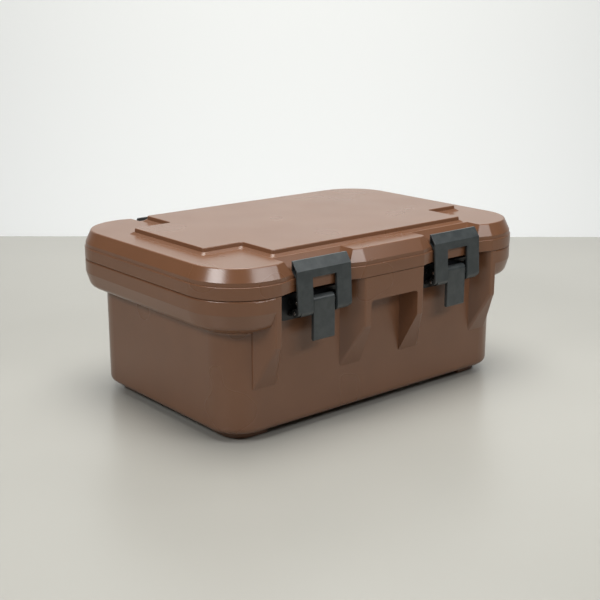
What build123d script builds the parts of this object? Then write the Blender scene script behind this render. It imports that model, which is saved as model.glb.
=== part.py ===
from build123d import *
import math
import os

# Insulated food carrier for one full-size pan: a double-wall body with a foam core, a loose
# double-wall lid, and four over-centre draw latches. Millimetres. X runs along the long side,
# -Y is the front, +Z is up, and the origin is on the floor under the middle of the carrier.

# Overall sizes
length = 640.0              # outside of the rim, along X
width = 435.0               # outside of the rim, along Y
parting = 222.5             # height of the line where lid meets body
lid_height = 44.0           # from that line to the flat top of the lid
plateau_height = 9.3        # raised stacking panel above the flat top
rim_corner = 86.0           # plan radius of the rim's corners
lid_gap = 0.5               # gap left along the parting line

# Body
foot_height = 13.0
foot_inset = 46.0           # foot outline, measured in from the rim, where it joins the floor
foot_draft = 7.5            # how much further in the foot is at its sole
foot_reach = 66.0           # length of a foot along each side of its corner
foot_edge = 3.0
wall_inset = 32.0           # how far the walls stand in from the rim
floor_edge = 10.0           # radius along the bottom of the walls
rim_band = 21.5             # height of the vertical band under the parting line
rim_skirt_height = 22.8     # sloping band below it
rim_skirt_inset = 6.8
rim_under_height = 11.2     # underside of the rim, from the skirt in to the wall
rim_under_edge = 13.0
rim_under_root = 4.0
edge_soft = 1.6             # small moulded edges
rim_top_edge = 2.8          # along the top of the body's rim

# Handle block, end columns and latch recesses of the front and rear faces
handle_half = 61.4          # half width of the handle block at the front
handle_flare = 23.0         # how much wider it is at the wall, each side
column_inner = 221.5        # front corner of a column, on the latch side
column_width = 10.5         # front face of a column
column_inner_flare = 16.5
column_outer_flare = 17.0
gusset_front_drop = 75.5    # front face of the blocks, below the parting line
gusset_wall_drop = 140.5    # where their sloping undersides reach the wall
gusset_edge = 7.0
block_edge = 4.0
grip_height = 36.5          # grip bar of the handle
finger_half = 49.5          # half width of the finger opening at the front
finger_draft = 8.0          # how much narrower it is at the wall, each side
finger_edge = 5.0

# Pan well, for a full-size pan 530 x 325 x 150
mouth_inset = 51.0
mouth_depth = 17.0          # down to the ledge that carries the pan's flange
well_inset = 64.0
well_depth = 160.0          # below the ledge
well_draft = 6.0            # how much smaller the well is at its floor, each side
well_edge = 12.0
skin = 4.0                  # moulded wall thickness

# Lid
lid_band = 18.9             # vertical band above the parting line
lid_step = 1.7              # narrow ledge above the band
lid_riser = 6.2             # upright strip from the ledge to the bevel
lid_bevel = 9.2             # how far the bevel leans in
plug_fit = 2.0              # gap between the lid's plug and the mouth
plug_depth = 12.0
plug_edge = 4.0
notch_depth = 9.0           # the lid's face behind a latch, in from the rim
notch_taper = 30.0          # length of the taper down to it
notch_soft = 12.0
lid_soft = 1.0              # radii along the band
lid_crease = 2.5            # radius between bevel and flat top
plateau_mid = (393.0, 332.0)
plateau_end = (531.0, 187.0)
plateau_draft = 12.0
plateau_corner = 5.0
plateau_edge = 1.5
plateau_skirt = 3.4         # height of the gentle slope round its foot
plateau_spread = 4.4        # how far that slope runs out

# Latch pocket in the lid: section from front to back
pocket_half = 51.8          # half width at the keeper
pocket_flare = 13.5         # how much wider it is at the top, each side
keeper_height = 21.0        # front edge of the keeper above the parting line
keeper_rise = 4.0           # its 45 degree bearing face
keeper_crest = 2.0
keeper_back = 1.5           # how far its back face leans over its height
pocket_drop = 7.0           # pocket floor, below the crest
pocket_floor = 9.0
pocket_crest_edge = 0.8
pocket_floor_edge = 3.0
pocket_rim = 1.2            # radius at the top of the back wall
pocket_back = 17.5          # how far the pocket's back wall leans away
foam_margin = 46.0          # lid foam, in from the front and rear rim, clear of the pockets
foam_corner = 50.0

# Foam filler plugs
plug_radius = 14.0
plug_head_radius = 18.0
plug_head = 2.0             # thickness of the head, let into the skin
plug_spacing = 180.0        # apart along X

# Latches: distances are from the front plane of the rim, heights from the parting line
latch_x = 140.0
pivot_depth = 9.7           # lever pivot
pivot_drop = 18.5
link = 16.4                 # lever pivot to hook pivot
link_lean = 16.0            # degrees past straight down, towards the wall
pin_radius = 2.5
pin_half = pocket_half - 3.8
pin_clearance = 0.06
pin_dome = 0.8
lever_half = 20.4
barrel_radius = 7.0
lever_boss = 5.6
paddle_length = 59.8
paddle_thickness = 6.2
paddle_edge = 1.2
paddle_foot_edge = 3.0
lever_web_inset = 1.0       # the lever's middle stands in from its faces
hook_half = pocket_half - 0.6
hook_window = 22.8          # half width of the hook's window
hook_plate = 3.7
hook_ear = 6.4
hook_lug_half = hook_half - 5.7    # the lugs stop short of the sides, so the pin's ends show
hook_hollow = 14.0          # depth of the hollow in each end of the lip
hook_wall = 2.0
hook_lean = 4.0             # how much further out the foot of the hook stands
hook_foot = 3.0             # below the hook pivot, at the front face
hook_foot_edge = 8.0        # the front face rounds under towards the pin
hook_fold_edge = 1.6
hook_fold_drop = -28.8      # the fold, above the parting line
hook_fold_depth = 3.4
hook_top_drop = -42.8
hook_top_depth = 13.2
hook_tip_depth = 16.2
hook_window_drop = -17.2
hook_gap = 0.5              # above the keeper's bearing face
hook_edge = 0.7
base_thickness = 7.0
base_gap = 1.2              # to the sides of the recess
base_top_drop = 8.5
base_height = 37.0
base_corner = 10.0
ear_centre = 33.5
ear_thickness = 6.0
ear_radius = 4.4
screw_radius = 2.4
screw_head_radius = 4.6
screw_head = 2.6
screw_length = 13.0
screw_places = ((-46.0, 9.0), (46.0, 9.0), (-46.0, -9.0), (46.0, -9.0))
insert_radius = 4.2
insert_length = 12.0

half_width = width / 2
body_top = parting - lid_gap / 2
lid_bottom = parting + lid_gap / 2
lid_flat = parting + lid_height
front_wall = wall_inset - half_width
ledge = parting - mouth_depth
reach_out = 40.0            # how far cutters run past the carrier
overlap = 1.0               # how far neighbouring solids run into each other before they are joined or cut
touch = 0.01                # tolerance for picking edges that lie on a plane


def outline(inset):
    """Rounded rectangle, a given distance in from the rim."""
    return RectangleRounded(length - 2 * inset, width - 2 * inset, rim_corner - inset)


def stack(levels):
    """Solid with straight sides between outlines given as (height, inset)."""
    return loft([Plane.XY.offset(z) * outline(inset) for z, inset in levels], ruled=True)


def level_edges(solid, height):
    return solid.edges().filter_by_position(Axis.Z, height - touch, height + touch)


def plan_prism(points, low, high):
    """Upright prism over a polygon in plan."""
    return extrude(Plane.XY.offset(low) * make_face(Polyline(*points, close=True)), high - low)


def side_prism(points, half):
    """Prism along X over a polygon of (y, z) points, centred on x = 0."""
    face = Plane.YZ * make_face(Polyline(*points, close=True))
    return extrude(face, half, both=True)


def at_front_and_rear(make):
    """A front feature and its twin turned half round for the rear."""
    feature = make()
    return [feature, Rot(Z=180) * feature]


def mirrored(points):
    return [(-x, y) for x, y in reversed(points)]


# ---------------------------------------------------------------- body

skirt_top = parting - rim_band
skirt_foot = skirt_top - rim_skirt_height
rim_foot = skirt_foot - rim_under_height


def body_envelope():
    solid = stack([(foot_height, wall_inset), (rim_foot, wall_inset), (skirt_foot, rim_skirt_inset),
                   (skirt_top, 0), (body_top, 0)])
    solid = fillet(level_edges(solid, foot_height), floor_edge)
    solid = fillet(level_edges(solid, skirt_foot), rim_under_edge)
    solid = fillet(level_edges(solid, rim_foot), rim_under_root)
    solid = fillet(level_edges(solid, skirt_top), edge_soft)
    return fillet(level_edges(solid, body_top), rim_top_edge)


def gusset_section():
    """Side section of the blocks: upright front, sloping underside, let into the wall."""
    into_wall = front_wall + skin
    return [(-half_width, body_top), (-half_width, parting - gusset_front_drop),
            (front_wall, parting - gusset_wall_drop), (into_wall, parting - gusset_wall_drop),
            (into_wall, body_top)]


def block(plan):
    solid = plan_prism(plan, 0, body_top) & side_prism(gusset_section(), length)
    front = solid.edges().filter_by_position(Axis.Y, -half_width - touch, -half_width + touch)
    uprights = front.filter_by(Axis.Z)
    solid = fillet(uprights, block_edge)
    front = solid.edges().filter_by_position(Axis.Y, -half_width - touch, -half_width + touch)
    foot = parting - gusset_front_drop
    return fillet(front.filter_by_position(Axis.Z, foot - touch, foot + touch), gusset_edge)


def handle_block():
    wall_half = handle_half + handle_flare
    plan = [(-handle_half, -half_width), (handle_half, -half_width),
            (wall_half, front_wall), (wall_half, front_wall + skin),
            (-wall_half, front_wall + skin), (-wall_half, front_wall)]
    return block(plan) - finger_opening()


def finger_opening():
    wall_half = finger_half - finger_draft
    plan = [(-finger_half, -half_width - overlap), (finger_half, -half_width - overlap),
            (wall_half, front_wall), (-wall_half, front_wall)]
    cutter = plan_prism(plan, 0, parting - grip_height)
    ceiling = level_edges(cutter, parting - grip_height)
    sides = ceiling.filter_by(lambda edge: abs(edge.center().X) > wall_half / 2)
    return fillet(sides, finger_edge)


def column(side):
    inner, outer = column_inner, column_inner + column_width
    wall_in, wall_out = inner - column_inner_flare, outer + column_outer_flare
    plan = [(inner, -half_width), (outer, -half_width), (wall_out, front_wall),
            (wall_out, front_wall + skin), (wall_in, front_wall + skin), (wall_in, front_wall)]
    return block(plan if side > 0 else mirrored(plan))


def face_clearance():
    """Clears the rim away between the two columns, down to the plane of the wall."""
    half = column_inner + column_width / 2
    low = rim_foot - rim_under_root
    high = parting + overlap
    return Pos(0, front_wall - reach_out / 2, (low + high) / 2) * Box(2 * half, reach_out, high - low)


def foot_blocks():
    pad = stack([(0, foot_inset + foot_draft), (foot_height + floor_edge, foot_inset)])
    half_x, half_y = length / 2 - foot_inset, half_width - foot_inset
    keep = []
    for sx in (-1, 1):
        for sy in (-1, 1):
            place = Pos(sx * (half_x - foot_reach / 2), sy * (half_y - foot_reach / 2), 0)
            keep.append(place * Box(foot_reach, foot_reach, 3 * foot_height))
    feet = [pad & corner for corner in keep]
    return [fillet(level_edges(foot, 0), foot_edge) for foot in feet]


def pan_well():
    mouth = stack([(ledge, mouth_inset), (parting + overlap, mouth_inset)])
    well = stack([(ledge - well_depth, well_inset + well_draft), (ledge + overlap, well_inset)])
    well = fillet(level_edges(well, ledge - well_depth), well_edge)
    return mouth + well


def body_foam():
    """Foam between the skins: skin thickness in from every moulded face."""
    outer = stack([(foot_height + skin, wall_inset + skin), (rim_foot, wall_inset + skin),
                   (skirt_foot + skin, rim_skirt_inset + 2 * skin),
                   (body_top - skin, rim_skirt_inset + 2 * skin)])
    for cutter in at_front_and_rear(face_clearance):
        outer -= cutter
        outer -= Pos(0, skin if cutter.center().Y < 0 else -skin, 0) * cutter
    mouth = stack([(ledge - skin, mouth_inset - skin), (parting + overlap, mouth_inset - skin)])
    well = stack([(ledge - well_depth - skin, well_inset + well_draft - skin),
                  (ledge, well_inset - skin)])
    return outer - mouth - well


def plug_places():
    return [(-plug_spacing / 2, 0), (plug_spacing / 2, 0)]


def filler_plugs(skin_low):
    """Stepped discs through the skin, with the head flush with its outer face."""
    plugs = []
    for x, y in plug_places():
        shank = Pos(x, y, skin_low + skin / 2) * Cylinder(plug_radius, skin)
        head = Pos(x, y, skin_low + plug_head / 2) * Cylinder(plug_head_radius, plug_head)
        plugs.append(shank + head)
    return plugs


# ---------------------------------------------------------------- lid

rim_tangent = length / 2 - rim_corner      # where the rim's corner arcs end


def lid_section(height, inset):
    """Lid outline with its four latch notches, a given distance in from the rim."""
    face = outline(inset)
    far = half_width + reach_out
    deep = half_width - notch_depth - inset
    open_at = half_width - inset
    inner_start, outer_start = handle_half, column_inner
    notch = [(inner_start, -far), (inner_start, -open_at), (inner_start + notch_taper, -deep),
             (outer_start - notch_taper, -deep), (outer_start, -open_at), (outer_start, -far)]
    for points in (notch, mirrored(notch)):
        cut = make_face(Polyline(*points, close=True))
        face = face - cut - Rot(Z=180) * cut
    turns = face.vertices().filter_by(
        lambda corner: abs(abs(corner.X) - inner_start) < notch_taper + overlap
        or abs(abs(corner.X) - outer_start) < notch_taper + overlap).filter_by(
        lambda corner: abs(abs(corner.X) - rim_tangent) > touch)
    return Plane.XY.offset(height) * fillet(turns, notch_soft)


def lid_envelope():
    """Band, ledge, upright strip, bevel and flat top, with the plug underneath and the panel on top."""
    ledge_height = parting + lid_band
    bevel_foot = ledge_height + lid_riser
    band = extrude(lid_section(lid_bottom, 0), ledge_height - lid_bottom)
    band = fillet(level_edges(band, ledge_height) + level_edges(band, lid_bottom), lid_soft)
    riser = extrude(lid_section(ledge_height - lid_soft, lid_step), lid_riser + lid_soft)
    bevel = loft([lid_section(bevel_foot, lid_step), lid_section(lid_flat, lid_step + lid_bevel)], ruled=True)
    bevel = fillet(level_edges(bevel, lid_flat), lid_crease)
    plug_inset = mouth_inset + plug_fit
    plug = stack([(parting - plug_depth, plug_inset), (ledge_height, plug_inset)])
    plug = fillet(level_edges(plug, parting - plug_depth), plug_edge)
    return band + riser + bevel + plug + plateau()


def plateau_plan(grow):
    """Cross-shaped outline of the raised panel, a given distance out from its top edge."""
    arms = [Rectangle(*(side + 2 * grow for side in sides)) for sides in (plateau_mid, plateau_end)]
    plan = arms[0] + arms[1]
    return fillet(plan.vertices(), plateau_corner)


def plateau():
    """Steep sides down to a gentle slope that runs out into the flat top."""
    top = lid_flat + plateau_height
    root = plateau_height * math.tan(math.radians(plateau_draft))
    panel = extrude(Plane.XY.offset(top) * plateau_plan(0), -plateau_height, taper=-plateau_draft)
    panel = fillet(level_edges(panel, top), plateau_edge)
    skirt = loft([Plane.XY.offset(lid_flat) * plateau_plan(root + plateau_spread),
                  Plane.XY.offset(lid_flat + plateau_skirt) * plateau_plan(root)], ruled=True)
    return panel + skirt


def pocket_section():
    """Front to back: bearing face rising at 45 degrees, crest, pocket floor, leaning back wall."""
    front = notch_depth - half_width
    keeper_z = parting + keeper_height
    crest_y, crest_z = front + keeper_rise, keeper_z + keeper_rise
    floor_y, floor_z = crest_y + keeper_crest + keeper_back, crest_z - pocket_drop
    back_y = floor_y + pocket_floor
    lean = pocket_back / (lid_flat - floor_z)
    over = lid_flat + plateau_height
    return [(front - reach_out, over), (front - reach_out, keeper_z - keeper_rise),
            (front - keeper_rise, keeper_z - keeper_rise), (crest_y, crest_z),
            (crest_y + keeper_crest, crest_z), (floor_y, floor_z), (back_y, floor_z),
            (back_y + lean * (over - floor_z), over)]


def latch_pocket():
    low, high = parting + keeper_height - keeper_rise, lid_flat + plateau_height
    slope = pocket_flare / (lid_height - keeper_height)
    foot = pocket_half - slope * keeper_rise
    head = foot + slope * (high - low)
    sides = make_face(Polyline((-foot, low), (foot, low), (head, high), (-head, high), close=True))
    section = make_face(Polyline(*pocket_section(), close=True))
    inner = section.vertices().filter_by(lambda corner: low < corner.Y < lid_flat)
    crest = inner.filter_by(lambda corner: corner.Y > low + keeper_rise)
    section = fillet(crest, pocket_crest_edge)
    section = fillet(section.vertices().group_by(Axis.Y)[1], pocket_floor_edge)
    return extrude(Plane.YZ * section, length, both=True) & extrude(Plane.XZ * sides, width, both=True)


def pocket_back_edges(lid):
    """The long edges where the pockets' back walls run out into the flat top."""
    flat = level_edges(lid, lid_flat).filter_by(Axis.X)
    return flat.filter_by(lambda edge: edge.length > 2 * pocket_half
                          and abs(edge.center().X) < latch_x + pocket_half
                          and abs(edge.center().Y) > plateau_mid[1] / 2 + pocket_rim)


def lid_foam():
    """Foam in three steps: the plug, the band under the pockets, and the top between them."""
    pocket_floor_z = parting + keeper_height + keeper_rise - pocket_drop
    plug_inset = mouth_inset + plug_fit + skin
    lower = stack([(parting - plug_depth + skin, plug_inset), (lid_flat - skin, plug_inset)])
    middle = stack([(lid_bottom + skin, notch_depth + skin), (pocket_floor_z - skin, notch_depth + skin)])
    end_margin = lid_step + lid_bevel + skin
    top = RectangleRounded(length - 2 * end_margin, width - 2 * foam_margin, foam_corner)
    low = lid_bottom + skin
    upper = extrude(Plane.XY.offset(low) * top, lid_flat - skin - low)
    return lower + middle + upper


# ---------------------------------------------------------------- latches, drawn at x = 0

pivot = (pivot_depth - half_width, parting - pivot_drop)
hook_pivot = (pivot[0] + link * math.sin(math.radians(link_lean)),
              pivot[1] - link * math.cos(math.radians(link_lean)))


def along_x(radius, half, place):
    return Pos(0, place[0], place[1]) * Rot(Y=90) * Cylinder(radius, 2 * half)


def latch_pin(place):
    pin = along_x(pin_radius, pin_half, place)
    ends = pin.edges().filter_by(GeomType.CIRCLE)
    return fillet(ends, pin_dome)


def latch_lever():
    front = pivot[0] - barrel_radius
    back = front + paddle_thickness
    foot = pivot[1] - paddle_length
    paddle = side_prism([(front, foot), (back, foot), (back, pivot[1]), (front, pivot[1])], lever_half)
    paddle = fillet(level_edges(paddle, foot).filter_by(Axis.X), paddle_foot_edge)
    paddle = fillet(paddle.edges().filter_by(Axis.Z), paddle_edge)
    web = side_prism([(front + lever_web_inset, hook_pivot[1] - lever_boss),
                      (hook_pivot[0], hook_pivot[1] - lever_boss),
                      (hook_pivot[0] + lever_boss, hook_pivot[1]), (pivot[0] + barrel_radius, pivot[1]),
                      (front + lever_web_inset, pivot[1])], lever_half - lever_web_inset)
    boss = along_x(lever_boss, lever_half - lever_web_inset, hook_pivot)
    barrel = along_x(barrel_radius, lever_half, pivot)
    barrel = fillet(barrel.edges().filter_by(GeomType.CIRCLE), paddle_edge)
    solid = barrel + paddle + web + boss
    for place in (pivot, hook_pivot):
        solid -= along_x(pin_radius + pin_clearance, pin_half, place)
    return solid


def hook_front(z):
    """Front face of the hook, which leans out towards its foot."""
    fold_z = parting - hook_fold_drop
    fall = (fold_z - z) / (fold_z - hook_pivot[1] + hook_foot)
    return hook_fold_depth - half_width - hook_lean * fall


def hook_levels():
    """Heights of the foot, the window's top, the fold and the top of a hook."""
    return (hook_pivot[1] - hook_foot, parting - hook_window_drop, parting - hook_fold_drop,
            parting - hook_top_drop)


def lip_outline():
    """Side outline of the lip: fold, top, tip, bearing face and the back of the plate."""
    _, window_z, fold_z, top_z = hook_levels()
    fold_y, top_y = hook_fold_depth - half_width, hook_top_depth - half_width
    tip_y = hook_tip_depth - half_width
    bearing = parting + keeper_height + hook_gap - (notch_depth - half_width)
    plate_back = hook_front(window_z) + hook_plate
    return [(fold_y, fold_z), (top_y, top_z), (tip_y, top_z), (tip_y, tip_y + bearing),
            (plate_back, plate_back + bearing)]


def hook_outline(foot_back):
    """Side outline of a hook, whose foot rounds under and runs back as far as given."""
    foot_z, window_z, _, _ = hook_levels()
    lug_z = hook_pivot[1] + hook_ear
    lip = lip_outline()
    face = make_face(Polyline(
        (hook_front(foot_z), foot_z), *lip, (lip[-1][0], window_z),
        (hook_front(lug_z) + hook_plate, lug_z), *foot_back, close=True))
    face = fillet(face.vertices().sort_by_distance((hook_front(foot_z), foot_z))[0], hook_foot_edge)
    return fillet(face.vertices().sort_by_distance(lip[0])[0], hook_fold_edge)


def latch_hook():
    """Plate with a leg each side of its window, a lug behind each foot, and a hollow-ended lip."""
    foot_z, window_z, _, _ = hook_levels()
    lug_z = hook_pivot[1] + hook_ear
    solid = extrude(Plane.YZ * hook_outline([(hook_front(foot_z) + hook_foot_edge + overlap, foot_z)]),
                    hook_half, both=True)
    for x in (-hook_half, hook_half):
        solid = fillet(solid.edges().filter_by_position(Axis.X, x - touch, x + touch), hook_edge)
    lug = [(hook_pivot[0], lug_z), (hook_pivot[0], hook_pivot[1] - hook_ear)]
    solid += extrude(Plane.YZ * hook_outline(lug), hook_lug_half, both=True)
    solid += along_x(hook_ear, hook_lug_half, hook_pivot)
    solid -= Pos(0, -half_width, window_z - reach_out) * Box(2 * hook_window, 2 * reach_out, 2 * reach_out)
    hollow = Plane.YZ * offset(make_face(Polyline(*lip_outline(), close=True)), -hook_wall)
    hollow = extrude(hollow, hook_half + overlap, both=True) - extrude(hollow, hook_half - hook_hollow, both=True)
    return solid - hollow - along_x(pin_radius + pin_clearance, pin_half + overlap, hook_pivot)


def latch_base():
    """Bracket that fills the back of the recess, with two arms out to the lever pivot."""
    top, low = parting - base_top_drop, parting - base_top_drop - base_height
    front = front_wall - base_thickness
    inner_slope = handle_flare / wall_inset
    outer_slope = column_inner_flare / wall_inset
    inner = handle_half + handle_flare + base_gap - latch_x
    outer = column_inner - column_inner_flare - base_gap - latch_x
    plan = [(inner, front_wall), (inner - inner_slope * base_thickness, front),
            (outer + outer_slope * base_thickness, front), (outer, front_wall)]
    plate = plan_prism(plan, low, top)
    low_edges = level_edges(plate, low).sort_by(Axis.X)
    plate = fillet([low_edges[0], low_edges[-1]], base_corner)
    for side in (-1, 1):
        arm = side_prism([(front_wall, pivot[1] - ear_radius), (pivot[0], pivot[1] - ear_radius),
                          (pivot[0], pivot[1] + ear_radius), (front_wall, pivot[1] + ear_radius)],
                         ear_thickness / 2)
        nose = along_x(ear_radius, ear_thickness / 2, pivot)
        plate += Pos(side * ear_centre, 0, 0) * (arm + nose)
    plate -= along_x(pin_radius, pin_half, pivot)
    return plate


def screw_centres():
    middle = parting - base_top_drop - base_height / 2
    return [(x, middle + z) for x, z in screw_places]


def along_y(radius, start, stop, x, z):
    return Pos(x, (start + stop) / 2, z) * Rot(X=90) * Cylinder(radius, stop - start)


def base_screws():
    front = front_wall - base_thickness
    screws = []
    for x, z in screw_centres():
        shank = along_y(screw_radius, front, front + screw_length, x, z)
        head = along_y(screw_head_radius, front - screw_head, front, x, z)
        rim = head.edges().filter_by(GeomType.CIRCLE).sort_by(Axis.Y)[0]
        screws.append(shank + fillet(rim, screw_head / 2))
    return screws


def latch_inserts():
    return [along_y(insert_radius, front_wall, front_wall + insert_length, x, z)
            - along_y(screw_radius, front_wall - overlap, front_wall + screw_length - base_thickness, x, z)
            for x, z in screw_centres()]


def insert_holes():
    return [along_y(insert_radius, front_wall - overlap, front_wall + insert_length, x, z)
            for x, z in screw_centres()]


stations = {
    "front_left": Pos(-latch_x, 0, 0),
    "front_right": Pos(latch_x, 0, 0),
    "rear_left": Rot(Z=180) * Pos(latch_x, 0, 0),
    "rear_right": Rot(Z=180) * Pos(-latch_x, 0, 0),
}


def base_hand(name, solid):
    """The recess is not quite centred on its latch, so two of the four brackets are mirrored."""
    return solid.mirror(Plane.YZ) if name in ("front_left", "rear_right") else solid


# ---------------------------------------------------------------- assembly

def build():
    nodes = {}
    envelope = body_envelope()
    for cutter in at_front_and_rear(face_clearance):
        envelope -= cutter
    for make in (handle_block, lambda: column(-1), lambda: column(1)):
        for feature in at_front_and_rear(make):
            envelope += feature
    for foot in foot_blocks():
        envelope += foot
    foam = body_foam()
    shell = envelope - pan_well() - foam
    plugs = filler_plugs(foot_height)
    for plug in plugs:
        shell -= plug
    holes = [place * hole for place in stations.values() for hole in insert_holes()]
    for hole in holes:
        shell -= hole
        foam -= hole
    nodes["body_shell"] = shell
    nodes["body_foam_core"] = foam
    nodes["body_filler_plugs"] = Compound(plugs)

    lid = lid_envelope()
    for place in stations.values():
        lid -= place * latch_pocket()
    lid = fillet(pocket_back_edges(lid), pocket_rim)
    core = lid_foam()
    lid_plugs = filler_plugs(parting - plug_depth)
    lid -= core
    for plug in lid_plugs:
        lid -= plug
    nodes["lid_shell"] = lid
    nodes["lid_foam_core"] = core
    nodes["lid_filler_plugs"] = Compound(lid_plugs)

    pieces = {"latch_base": latch_base() - Compound(base_screws()), "latch_lever": latch_lever(),
              "latch_hook": latch_hook(), "lever_pin": latch_pin(pivot), "hook_pin": latch_pin(hook_pivot),
              "base_screws": Compound(base_screws()), "screw_inserts": Compound(latch_inserts())}
    for name, place in stations.items():
        for piece, solid in pieces.items():
            shaped = base_hand(name, solid) if piece == "latch_base" else solid
            nodes[piece + "_" + name] = place * shaped
    return nodes


nodes = build()
os.makedirs("parts", exist_ok=True)
for name, solid in nodes.items():
    export_step(solid, os.path.join("parts", name + ".step"))
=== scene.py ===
import math
import bpy
import numpy as np
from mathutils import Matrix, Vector

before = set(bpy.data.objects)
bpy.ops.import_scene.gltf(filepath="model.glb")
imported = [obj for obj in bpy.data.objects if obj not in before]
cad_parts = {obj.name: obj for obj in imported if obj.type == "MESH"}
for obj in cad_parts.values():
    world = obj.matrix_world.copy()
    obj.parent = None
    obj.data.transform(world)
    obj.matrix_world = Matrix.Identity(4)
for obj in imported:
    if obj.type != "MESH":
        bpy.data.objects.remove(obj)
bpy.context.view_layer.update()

mm = 0.001


# sRGB hex to linear: c/12.92 below 0.04045, else ((c + 0.055)/1.055)^2.4
def linear(hexText):
    srgb = np.array([int(hexText[i:i + 2], 16) for i in (1, 3, 5)]) / 255
    low = srgb / 12.92
    high = ((srgb + 0.055) / 1.055) ** 2.4
    return (*np.where(srgb <= 0.04045, low, high), 1.0)


# adds one node, sets its named settings and sockets; a socket value that is a socket is linked
def addNode(tree, kind, settings=None, **sockets):
    node = tree.nodes.new(kind)
    for name, value in (settings or {}).items():
        setattr(node, name, value)
    for name, value in sockets.items():
        socket = node.inputs[int(name[1:])] if name[0] == "i" and name[1:].isdigit() else node.inputs[name]
        if isinstance(value, bpy.types.NodeSocket):
            tree.links.new(value, socket)
        else:
            socket.default_value = value
    return node


# a new material, its tree, its Principled shader and the piece's own Object coordinates
def newMaterial(name):
    material = bpy.data.materials.new(name)
    material.use_nodes = True
    tree = material.node_tree
    shader = tree.nodes["Principled BSDF"]
    coords = addNode(tree, "ShaderNodeTexCoord").outputs["Object"]
    return material, tree, shader, coords


# noise of a real grain size: Blender's noise has one cell per 1/scale metres
def grain(tree, coords, sizeMm, detail=2.0, roughness=0.5):
    return addNode(tree, "ShaderNodeTexNoise", Vector=coords, Scale=1 / (sizeMm * mm),
                   Detail=detail, Roughness=roughness).outputs["Fac"]


# maps 0..1 on to low..high
def spread(tree, value, low, high, start=0.0, stop=1.0):
    node = addNode(tree, "ShaderNodeMapRange", i0=value, i1=start, i2=stop, i3=low, i4=high)
    return node.outputs[0]


# blends colour low into colour high by a 0..1 value
def mixed(tree, share, low, high):
    return addNode(tree, "ShaderNodeMix", {"data_type": "RGBA"}, i0=share, i6=low, i7=high).outputs[2]


# bump of one height field with a real depth
def bump(tree, height, depthMm, strength=1.0, normal=None):
    links = {"Height": height, "Strength": strength, "Distance": depthMm * mm}
    if normal is not None:
        links["Normal"] = normal
    return addNode(tree, "ShaderNodeBump", **links).outputs["Normal"]


# brown rotomoulded polyethylene: satin skin with the mould's fine blasted grain, which is really
# about 0.3 mm and is drawn coarser and shallow so that it shows as an even sheen, faint
# long waves where the skin shrank on the foam, and a slight mottling of the pigment
plastic = {"base": "#744E36", "warm": "#785138", "dull": "#704B34", "mottleMm": 60, "grainMm": 1.6,
           "waveMm": 95, "grainDepthMm": 0.010, "waveDepthMm": 0.12, "smooth": 0.27, "rough": 0.31, "ior": 1.62}


def brownPolyethylene(name, base, warm, dull):
    material, tree, shader, coords = newMaterial(name)
    mottle = grain(tree, coords, plastic["mottleMm"], 3.0, 0.55)
    cloud = mixed(tree, spread(tree, mottle, 0, 1, 0.35, 0.65), linear(dull), linear(warm))
    tint = mixed(tree, 0.6, cloud, linear(base))
    tree.links.new(tint, shader.inputs["Base Color"])
    fine = grain(tree, coords, plastic["grainMm"], 2.0, 0.6)
    wave = grain(tree, coords, plastic["waveMm"], 1.0, 0.4)
    tree.links.new(spread(tree, wave, plastic["smooth"], plastic["rough"], 0.3, 0.7), shader.inputs["Roughness"])
    shaped = bump(tree, wave, plastic["waveDepthMm"])
    tree.links.new(bump(tree, fine, plastic["grainDepthMm"], 1.0, shaped), shader.inputs["Normal"])
    shader.inputs["IOR"].default_value = plastic["ior"]
    return material


# glass-filled nylon, injection moulded: dark grey, satin, spark-eroded texture and a little dust
nylon = {"grey": "#34393B", "dust": "#434849", "grainMm": 0.6, "grainDepthMm": 0.02, "cloudMm": 14,
         "smooth": 0.30, "rough": 0.40, "ior": 1.56}


def mouldedNylon(name, grey, dust):
    material, tree, shader, coords = newMaterial(name)
    cloud = grain(tree, coords, nylon["cloudMm"], 4.0, 0.6)
    tint = mixed(tree, spread(tree, cloud, 0, 1, 0.4, 0.75), linear(grey), linear(dust))
    tree.links.new(tint, shader.inputs["Base Color"])
    tree.links.new(spread(tree, cloud, nylon["smooth"], nylon["rough"], 0.3, 0.7), shader.inputs["Roughness"])
    fine = grain(tree, coords, nylon["grainMm"], 2.0, 0.6)
    tree.links.new(bump(tree, fine, nylon["grainDepthMm"]), shader.inputs["Normal"])
    shader.inputs["IOR"].default_value = nylon["ior"]
    return material


# drawn stainless rod: bright, with fine lines along the rod
steel = {"bright": "#C9CBCC", "dark": "#8F9193", "lineMm": 0.25, "stretch": 40, "smooth": 0.18, "rough": 0.34}


def drawnStainless(name):
    material, tree, shader, coords = newMaterial(name)
    along = addNode(tree, "ShaderNodeMapping", Vector=coords, Scale=(1 / steel["stretch"], 1, 1)).outputs[0]
    lines = grain(tree, along, steel["lineMm"], 2.0, 0.5)
    tint = mixed(tree, lines, linear(steel["dark"]), linear(steel["bright"]))
    tree.links.new(tint, shader.inputs["Base Color"])
    tree.links.new(spread(tree, lines, steel["smooth"], steel["rough"]), shader.inputs["Roughness"])
    shader.inputs["Metallic"].default_value = 1.0
    return material


# black oxide on a steel screw: nearly black, a soft dull shine, faintly patchy
oxide = {"dark": "#1B1B1C", "worn": "#343332", "patchMm": 3.0, "smooth": 0.38, "rough": 0.52}


def blackOxideSteel(name):
    material, tree, shader, coords = newMaterial(name)
    patch = grain(tree, coords, oxide["patchMm"], 3.0, 0.6)
    tint = mixed(tree, spread(tree, patch, 0, 1, 0.4, 0.7), linear(oxide["dark"]), linear(oxide["worn"]))
    tree.links.new(tint, shader.inputs["Base Color"])
    tree.links.new(spread(tree, patch, oxide["smooth"], oxide["rough"]), shader.inputs["Roughness"])
    shader.inputs["Metallic"].default_value = 0.8
    return material


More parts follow.
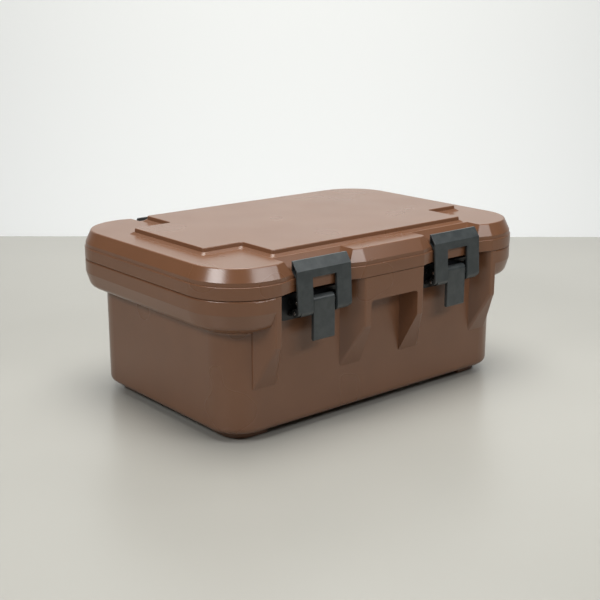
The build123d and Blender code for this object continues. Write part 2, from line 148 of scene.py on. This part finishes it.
# turned brass insert
brass = {"light": "#C9A45C", "dark": "#9A7A3C", "lineMm": 0.4, "roughness": 0.32}


def turnedBrass(name):
    material, tree, shader, coords = newMaterial(name)
    lines = grain(tree, coords, brass["lineMm"], 2.0, 0.5)
    tint = mixed(tree, lines, linear(brass["dark"]), linear(brass["light"]))
    tree.links.new(tint, shader.inputs["Base Color"])
    shader.inputs["Metallic"].default_value = 1.0
    shader.inputs["Roughness"].default_value = brass["roughness"]
    return material


# polyurethane foam: pale cream, matt, closed cells
foam = {"cream": "#E4D3A6", "shade": "#CDB885", "cellMm": 1.2, "cellDepthMm": 0.25, "roughness": 0.9}


def pouredFoam(name):
    material, tree, shader, coords = newMaterial(name)
    cells = addNode(tree, "ShaderNodeTexVoronoi", Vector=coords, Scale=1 / (foam["cellMm"] * mm)).outputs["Distance"]
    tint = mixed(tree, cells, linear(foam["cream"]), linear(foam["shade"]))
    tree.links.new(tint, shader.inputs["Base Color"])
    tree.links.new(bump(tree, cells, foam["cellDepthMm"]), shader.inputs["Normal"])
    shader.inputs["Roughness"].default_value = foam["roughness"]
    return material


finishes = {
    "shell": brownPolyethylene("rotomoulded_brown_polyethylene", plastic["base"], plastic["warm"], plastic["dull"]),
    "nylon": mouldedNylon("moulded_grey_nylon", nylon["grey"], nylon["dust"]),
    # the latch base: the latch's nylon drawn near-black, darker than the grey hook and lever, as painted shade of
    # the recess under the lid rim where it sits
    "black": mouldedNylon("moulded_nylon_near_black_painted_shade", "#17181A", "#202224"),
    "steel": drawnStainless("drawn_stainless_steel"),
    "screw": blackOxideSteel("black_oxide_steel"),
    "brass": turnedBrass("turned_brass"),
    "foam": pouredFoam("poured_polyurethane_foam"),
}
print("stage 2: materials made")

wanted = {"body_shell": "shell", "lid_shell": "shell", "body_filler": "shell", "lid_filler": "shell",
          "body_foam": "foam", "lid_foam": "foam", "latch_base": "black", "latch_lever": "nylon",
          "latch_hook": "nylon", "lever_pin": "steel", "hook_pin": "steel", "base_screws": "screw",
          "screw_inserts": "brass"}
for nodeName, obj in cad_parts.items():
    finish = next(f for start, f in wanted.items() if nodeName.startswith(start))
    obj.data.materials.clear()
    obj.data.materials.append(finishes[finish])
print("stage 3: finishes on", len(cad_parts), "nodes")

# the camera, as a photographer would set it: three-quarter view from the front left
view = {"place": (-1.14767, -1.35999, 0.62238), "turn": 39.985, "tilt": -15.39, "roll": -0.077,
        "lens": 1100.122 / 600 * 36, "sensor": 36}
cameraData = bpy.data.cameras.new("camera")
cameraData.sensor_width = view["sensor"]
cameraData.lens = view["lens"]
cameraData.clip_end = 50
camera = bpy.data.objects.new("camera", cameraData)
bpy.context.scene.collection.objects.link(camera)
camera.location = view["place"]
camera.rotation_euler = (math.radians(90 + view["tilt"]), math.radians(view["roll"]), math.radians(-view["turn"]))
bpy.context.scene.camera = camera

# studio: a flat floor, and an upright wall square to the camera's heading. The wall stands further
# off than any camera that circles the carrier, and runs down past the floor's far edge
room = {"floor": "#A4A39D", "floorLight": "#AAA9A3", "wall": "#F1F3F2", "half": 6.0,
        "floorEnd": 1.126, "wallAt": 2.6, "wallFoot": -1.5, "height": 5.0,
        "floorRough": 0.32, "wallRough": 0.9, "patchMm": 700}


# two flat sheets; each corner is along * (0, 0, 0) heading + across * side + up * height
def studioSheet(name, corners, finish):
    turn = np.radians(view["turn"])
    heading = np.array([np.sin(turn), np.cos(turn), 0.0])
    side = np.array([np.cos(turn), -np.sin(turn), 0.0])
    upward = np.array([0.0, 0.0, 1.0])
    points = np.array(corners, float) @ np.array([heading, side, upward])
    mesh = bpy.data.meshes.new(name)
    mesh.from_pydata(points.tolist(), [], [(0, 1, 2, 3)])
    mesh.materials.append(finish)
    sheet = bpy.data.objects.new(name, mesh)
    bpy.context.scene.collection.objects.link(sheet)
    return sheet


def floorFinish():
    material, tree, shader, coords = newMaterial("studio_floor")
    patch = grain(tree, coords, room["patchMm"], 2.0, 0.5)
    tint = mixed(tree, spread(tree, patch, 0, 1, 0.35, 0.65), linear(room["floor"]), linear(room["floorLight"]))
    tree.links.new(tint, shader.inputs["Base Color"])
    shader.inputs["Roughness"].default_value = room["floorRough"]
    return material


def wallFinish():
    material, tree, shader, coords = newMaterial("studio_wall")
    shader.inputs["Base Color"].default_value = linear(room["wall"])
    shader.inputs["Roughness"].default_value = room["wallRough"]
    return material


half, floorEnd, wallAt, wallFoot, height = (room[k] for k in ("half", "floorEnd", "wallAt", "wallFoot", "height"))
studioSheet("floor", [(-half, -half, 0), (-half, half, 0), (floorEnd, half, 0), (floorEnd, -half, 0)],
            floorFinish())
studioSheet("wall", [(wallAt, -half, wallFoot), (wallAt, half, wallFoot), (wallAt, half, height),
                     (wallAt, -half, height)], wallFinish())

# soft boxes, in metres and watts: one off each shoulder of the camera, whose reflections make the
# bright patches on the lid's corner bevel, one overhead, and two that wash the wall, from above and
# from below the floor's far edge
lamps = {
    "rightBox": {"place": (0.32, -1.38, 1.12), "target": (0.0, 0.0, 0.2), "size": (1.35, 0.34), "watts": 10,
                 "colour": "#FFFFFF"},
    "leftBox": {"place": (-1.65, -0.30, 1.20), "target": (0.0, 0.0, 0.2), "size": (0.9, 0.34), "watts": 13,
                "colour": "#FFFFFF"},
    "overhead": {"place": (-0.1, -0.1, 3.0), "target": (0.1, 0.1, 0.0), "size": (2.0, 2.0), "watts": 91,
                 "colour": "#FFFDF8"},
    "wallWash": {"place": (1.05, 1.13, 3.2), "target": (1.67, 1.99, 1.8), "size": (4.0, 0.8), "watts": 48,
                 "colour": "#FFFFFF"},
    "footLight": {"place": (0.87, 1.03, -0.6), "target": (1.67, 1.99, 0.3), "size": (4.0, 0.5), "watts": 21,
                  "colour": "#FFFFFF"},
}
for name, lamp in lamps.items():
    data = bpy.data.lights.new(name, "AREA")
    data.shape, data.size, data.size_y = "RECTANGLE", *lamp["size"]
    data.energy, data.color = lamp["watts"], linear(lamp["colour"])[:3]
    box = bpy.data.objects.new(name, data)
    bpy.context.scene.collection.objects.link(box)
    box.location = lamp["place"]
    box.rotation_euler = (Vector(lamp["target"]) - Vector(lamp["place"])).to_track_quat("-Z", "Y").to_euler()
    box.visible_camera = False
surround = {"colour": "#F2F1EC", "strength": 0.06}
world = bpy.data.worlds.new("studio")
world.use_nodes = True
world.node_tree.nodes["Background"].inputs["Color"].default_value = linear(surround["colour"])
world.node_tree.nodes["Background"].inputs["Strength"].default_value = surround["strength"]
bpy.context.scene.world = world
bpy.context.scene.view_settings.view_transform = "Standard"
print("stage 4: camera, floor, wall and lights")
